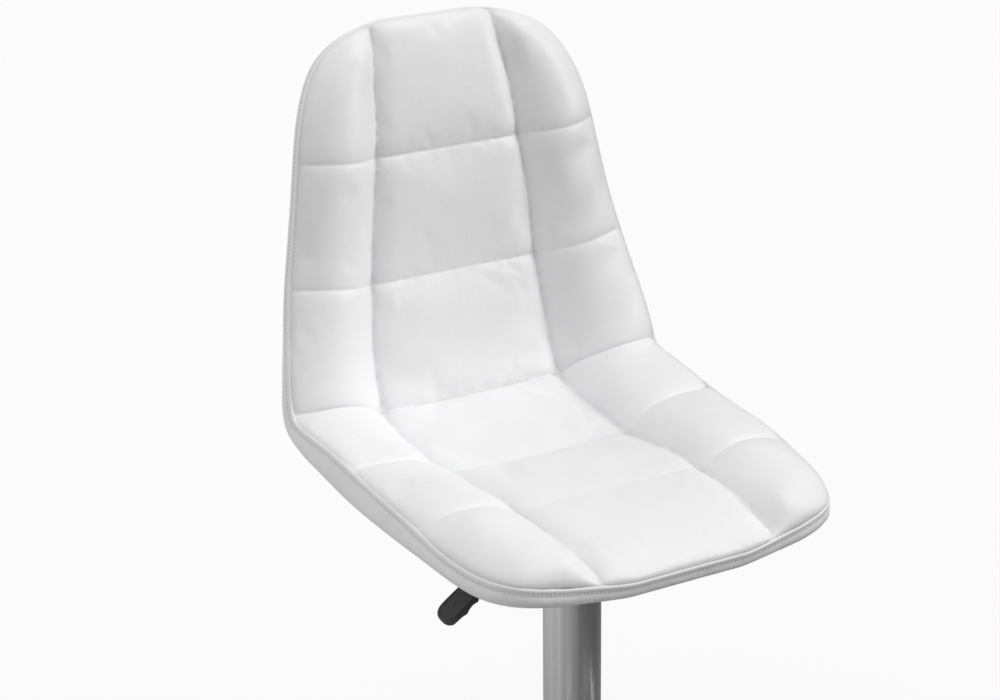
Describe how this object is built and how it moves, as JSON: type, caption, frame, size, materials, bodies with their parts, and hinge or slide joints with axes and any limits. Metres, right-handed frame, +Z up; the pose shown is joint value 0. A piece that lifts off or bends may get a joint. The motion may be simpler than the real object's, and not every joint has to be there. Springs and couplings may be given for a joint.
{
  "type": "swivel stool",
  "caption": "Height-adjustable swivel bar stool: quilted white bucket seat with a low curved back on a gas-lift steel column, footrest and round base.",
  "frame": {"origin": "centre of the round base, on the floor", "axes": "+Z up along the column; the sitter faces -Y; the lift lever is on the -X side, at the sitter's right hand"},
  "size_m": [0.445, 0.5296, 1.0358],
  "materials": {
    "white_leather": "white grained artificial leather, sewn and quilted",
    "brushed_steel": "satin stainless, brushed",
    "black_plastic": "moulded, fine texture",
    "chrome": "polished chrome plate",
    "painted_steel": "black powder coat",
    "black_paint": "black gloss paint",
    "zinc_steel": "bright zinc plate",
    "bearing_steel": "ground and polished",
    "cast_iron": "as cast, painted",
    "aluminium": "turned",
    "brass": "turned",
    "rubber": "moulded black rubber",
    "foam": "cut polyurethane foam",
    "shell_plastic": "moulded polypropylene shell"
  },
  "bodies": {
    "base": {"floor_pad": "rubber", "ballast_plate": "cast_iron", "base_cover": "brushed_steel", "base_bolts": "zinc_steel", "base_washers": "zinc_steel", "column_flange": "painted_steel", "column_tube": "brushed_steel", "base_collar": "brushed_steel", "foot_plate": "painted_steel", "guide_bush": "black_plastic", "lower_race": "bearing_steel", "footrest_collar": "brushed_steel", "footrest_screws": "zinc_steel", "footrest_bow": "brushed_steel"},
    "bearing_cage": {"ball_cage": "brass", "bearing_balls": "bearing_steel"},
    "piston": {"upper_race": "bearing_steel", "bump_stop": "rubber", "retaining_clip": "zinc_steel", "piston_rod": "chrome", "piston": "aluminium", "piston_seal": "rubber"},
    "seat": {"border_band": "white_leather", "foam_pad": "foam", "inner_sleeve": "chrome", "lower_glide": "black_plastic", "mechanism_housing": "painted_steel", "mounting_plate": "painted_steel", "pivot_fork": "painted_steel", "pivot_pin": "zinc_steel", "pressure_tube": "black_paint", "quilted_cover": "white_leather", "rear_cover": "white_leather", "rod_gland": "black_plastic", "seat_screws": "zinc_steel", "seat_shell": "shell_plastic", "seat_washers": "zinc_steel", "sleeve_cap": "painted_steel", "taper_hub": "painted_steel", "tee_nuts": "zinc_steel", "valve_body": "brass"},
    "lever": {"lever_eye": "painted_steel", "lever_rod": "zinc_steel", "lever_grip": "black_plastic"},
    "valve": {"valve_pin": "bearing_steel"}
  },
  "joints": [
    {"name": "swivel", "type": "hinge", "parent": "base", "child": "piston", "pos_m": [0, 0, 0.064], "axis": [0, 0, 1], "continuous": true},
    {"name": "cage_turn", "type": "hinge", "parent": "base", "child": "bearing_cage", "pos_m": [0, 0, 0.064], "axis": [0, 0, 1], "continuous": true},
    {"name": "lift", "type": "slide", "parent": "piston", "child": "seat", "axis": [0, 0, 1], "range_m": [0, 0.21]},
    {"name": "lever_pull", "type": "hinge", "parent": "seat", "child": "lever", "pos_m": [-0.02179, -0.00306, 0.556], "axis": [-0.1392, 0.9903, 0], "range_deg": [0, 7], "stiffness_Nm_per_rad": 1.5, "springref_deg": -11.46},
    {"name": "valve_press", "type": "slide", "parent": "seat", "child": "valve", "axis": [0, 0, -1], "range_m": [0, 0.0028]}
  ],
  "couplings": [
    {"joint": "cage_turn", "follows": "swivel", "ratio": 0.5},
    {"joint": "valve_press", "follows": "lever_pull", "m_per_rad": 0.0229}
  ]
}
